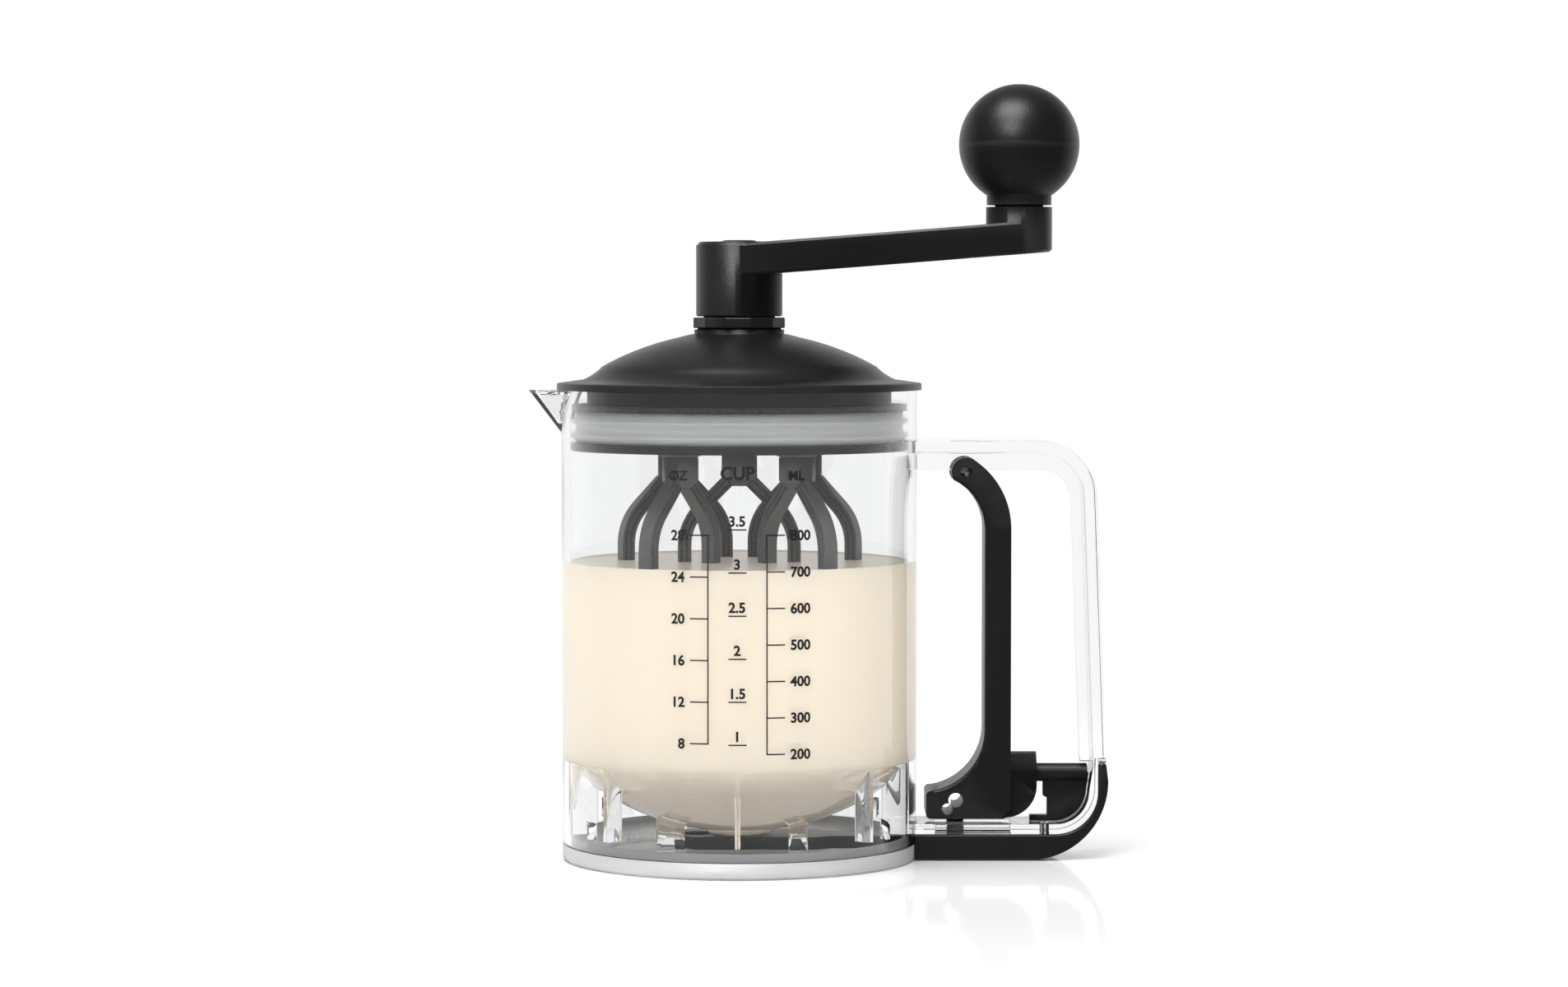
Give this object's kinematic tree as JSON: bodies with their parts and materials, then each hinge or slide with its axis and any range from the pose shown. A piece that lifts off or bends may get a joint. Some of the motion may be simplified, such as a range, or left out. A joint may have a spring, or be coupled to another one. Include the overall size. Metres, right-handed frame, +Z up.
{
  "type": "hand-cranked batter mixer and dispenser",
  "caption": "Clear jug with a funnel floor and lever-pulled slide valve, and a lift-off lid whose crank turns geared loop whisks.",
  "frame": {"origin": "on the jug's axis, in the plane the base ring stands on", "axes": "+Z up along the jug's axis, +X towards the handle and lever, -X towards the spout, -Y towards the printed scales"},
  "size_m": [0.1825, 0.115, 0.2438],
  "materials": {
    "clear_plastic": "clear, polished",
    "frosted_plastic": "frosted, translucent",
    "black_plastic": "fine satin grain",
    "gear_plastic": "greased acetal",
    "shaft_plastic": "satin",
    "grey_silicone": "translucent, soft satin",
    "steel": "bright"
  },
  "bodies": {
    "jug": {"jug_body": "clear_plastic", "base_ring": "frosted_plastic", "outlet_seal": "grey_silicone", "handle_bow": "clear_plastic", "bottom_cover": "black_plastic", "cover_screw_front": "steel", "cover_screw_rear": "steel", "spring_post": "black_plastic", "pivot_pin": "steel", "return_spring": "steel"},
    "lever": {"lever": "black_plastic"},
    "slide": {"valve_slide": "black_plastic"},
    "lid": {"lid_dome": "black_plastic", "collar_nut": "black_plastic", "neck_bush": "gear_plastic", "gear_housing": "black_plastic", "lid_gasket": "grey_silicone", "gear_cover": "black_plastic", "lid_screw_1": "steel", "lid_screw_2": "steel", "lid_screw_3": "steel", "lid_screw_4": "steel"},
    "crank": {"crank_arm": "black_plastic", "drive_shaft": "shaft_plastic", "ring_gear": "gear_plastic", "crank_screw": "steel", "hub_cap": "black_plastic", "knob_pin": "steel"},
    "knob": {"knob_lower": "black_plastic", "knob_upper": "black_plastic"},
    "beater_centre": {"pinion_centre": "gear_plastic", "whisk_centre": "black_plastic"},
    "beater_near_right": {"pinion_near_right": "gear_plastic", "whisk_near_right": "black_plastic"},
    "beater_near_left": {"pinion_near_left": "gear_plastic", "whisk_near_left": "black_plastic"},
    "beater_far_right": {"pinion_far_right": "gear_plastic", "whisk_far_right": "black_plastic"},
    "beater_far_left": {"pinion_far_left": "gear_plastic", "whisk_far_left": "black_plastic"}
  },
  "joints": [
    {"name": "lid_lift", "type": "slide", "parent": "jug", "child": "lid", "axis": [0, 0, 1], "range_m": [0, 0.13]},
    {"name": "crank_turn", "type": "hinge", "parent": "lid", "child": "crank", "pos_m": [0, 0, 0.17], "axis": [0, 0, 1], "continuous": true},
    {"name": "knob_spin", "type": "hinge", "parent": "crank", "child": "knob", "pos_m": [0.0881, 0, 0.225], "axis": [0, 0, 1], "continuous": true},
    {"name": "lever_squeeze", "type": "hinge", "parent": "jug", "child": "lever", "pos_m": [0.0712, 0, 0.1222], "axis": [0, -1, 0], "range_deg": [0, 6.68], "stiffness_Nm_per_rad": 2.7, "springref_deg": -4.58, "deforming": ["return_spring"]},
    {"name": "valve_open", "type": "slide", "parent": "jug", "child": "slide", "axis": [1, 0, 0], "range_m": [0, 0.0136]},
    {"name": "whisk_turn_centre", "type": "hinge", "parent": "lid", "child": "beater_centre", "pos_m": [0, 0, 0.13], "axis": [0, 0, 1], "continuous": true},
    {"name": "whisk_turn_near_right", "type": "hinge", "parent": "lid", "child": "beater_near_right", "pos_m": [0.01801, -0.02078, 0.13], "axis": [0, 0, 1], "continuous": true},
    {"name": "whisk_turn_near_left", "type": "hinge", "parent": "lid", "child": "beater_near_left", "pos_m": [-0.01801, -0.02078, 0.13], "axis": [0, 0, 1], "continuous": true},
    {"name": "whisk_turn_far_right", "type": "hinge", "parent": "lid", "child": "beater_far_right", "pos_m": [0.02078, 0.01801, 0.13], "axis": [0, 0, 1], "continuous": true},
    {"name": "whisk_turn_far_left", "type": "hinge", "parent": "lid", "child": "beater_far_left", "pos_m": [-0.02078, 0.01801, 0.13], "axis": [0, 0, 1], "continuous": true}
  ],
  "couplings": [
    {"joint": "valve_open", "follows": "lever_squeeze", "m_per_rad": 0.11574},
    {"joint": "whisk_turn_centre", "follows": "crank_turn", "ratio": -3},
    {"joint": "whisk_turn_near_right", "follows": "crank_turn", "ratio": 3},
    {"joint": "whisk_turn_near_left", "follows": "crank_turn", "ratio": 3},
    {"joint": "whisk_turn_far_right", "follows": "crank_turn", "ratio": 3},
    {"joint": "whisk_turn_far_left", "follows": "crank_turn", "ratio": 3}
  ]
}
